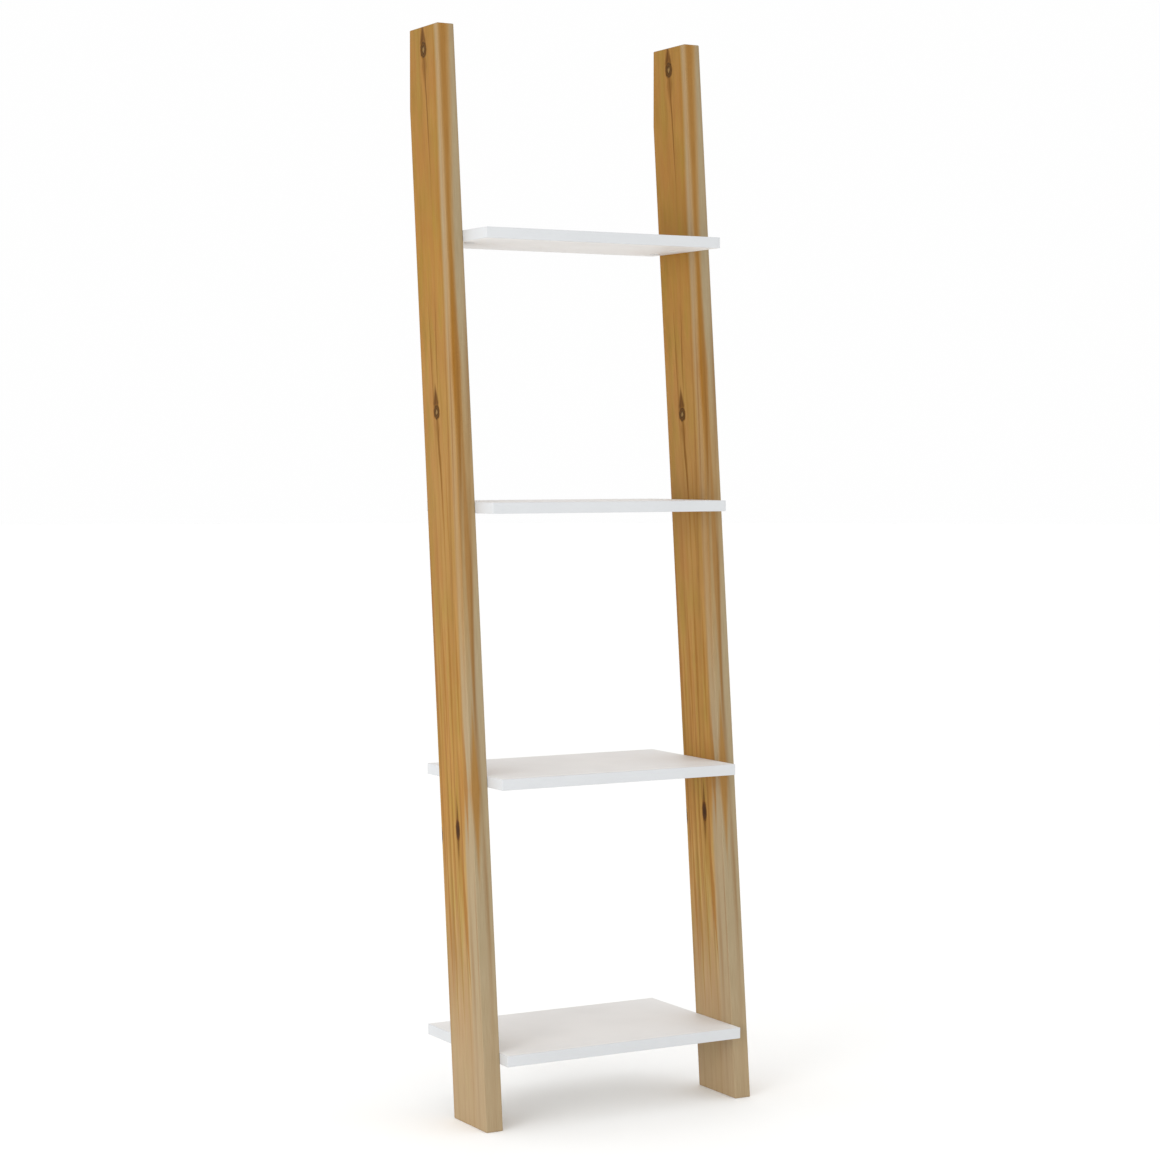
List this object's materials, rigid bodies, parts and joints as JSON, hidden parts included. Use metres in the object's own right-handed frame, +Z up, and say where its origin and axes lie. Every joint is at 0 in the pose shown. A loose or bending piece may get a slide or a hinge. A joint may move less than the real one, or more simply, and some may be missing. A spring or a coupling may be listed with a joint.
{
  "type": "ladder shelf",
  "caption": "Leaning ladder shelf: two pine rails lean back to the wall and carry level white shelves that get deeper towards the floor.",
  "frame": {"origin": "on the floor, under the middle of the whole shelf's box", "axes": "+Z up, +Y towards the wall that the shelf leans on, +X to the right of someone facing the shelf"},
  "size_m": [0.5, 0.286, 1.78],
  "materials": {
    "pine": "straight-grained pine with small knots, clear satin lacquer",
    "white_melamine": "white melamine-faced chipboard, fine satin texture",
    "white_edge_band": "white ABS edge band, satin",
    "white_plastic": "white moulded polyethylene",
    "zinc_alloy": "die-cast zinc alloy, as cast",
    "zinc_plated_steel": "bright zinc-plated steel",
    "beech": "turned beech, uncoated"
  },
  "bodies": {
    "root": {"left_rail": "pine", "right_rail": "pine", "bottom_shelf": "white_melamine", "bottom_shelf_front_band": "white_edge_band", "bottom_shelf_back_band": "white_edge_band", "bottom_shelf_end_bands": "white_edge_band", "bottom_shelf_cam_locks": "zinc_alloy", "bottom_shelf_cam_bolts": "zinc_plated_steel", "bottom_shelf_cam_caps": "white_plastic", "bottom_shelf_dowels": "beech", "lower_shelf": "white_melamine", "lower_shelf_front_band": "white_edge_band", "lower_shelf_back_band": "white_edge_band", "lower_shelf_end_bands": "white_edge_band", "lower_shelf_cam_locks": "zinc_alloy", "lower_shelf_cam_bolts": "zinc_plated_steel", "lower_shelf_cam_caps": "white_plastic", "lower_shelf_dowels": "beech", "upper_shelf": "white_melamine", "upper_shelf_front_band": "white_edge_band", "upper_shelf_back_band": "white_edge_band", "upper_shelf_end_bands": "white_edge_band", "upper_shelf_cam_locks": "zinc_alloy", "upper_shelf_cam_bolts": "zinc_plated_steel", "upper_shelf_cam_caps": "white_plastic", "upper_shelf_dowels": "beech", "top_shelf": "white_melamine", "top_shelf_front_band": "white_edge_band", "top_shelf_back_band": "white_edge_band", "top_shelf_end_bands": "white_edge_band", "top_shelf_cam_locks": "zinc_alloy", "top_shelf_cam_bolts": "zinc_plated_steel", "top_shelf_cam_caps": "white_plastic", "top_shelf_dowels": "beech", "left_hanger_plate": "zinc_plated_steel", "left_hanger_screws": "zinc_plated_steel", "right_hanger_plate": "zinc_plated_steel", "right_hanger_screws": "zinc_plated_steel"}
  },
  "joints": []
}
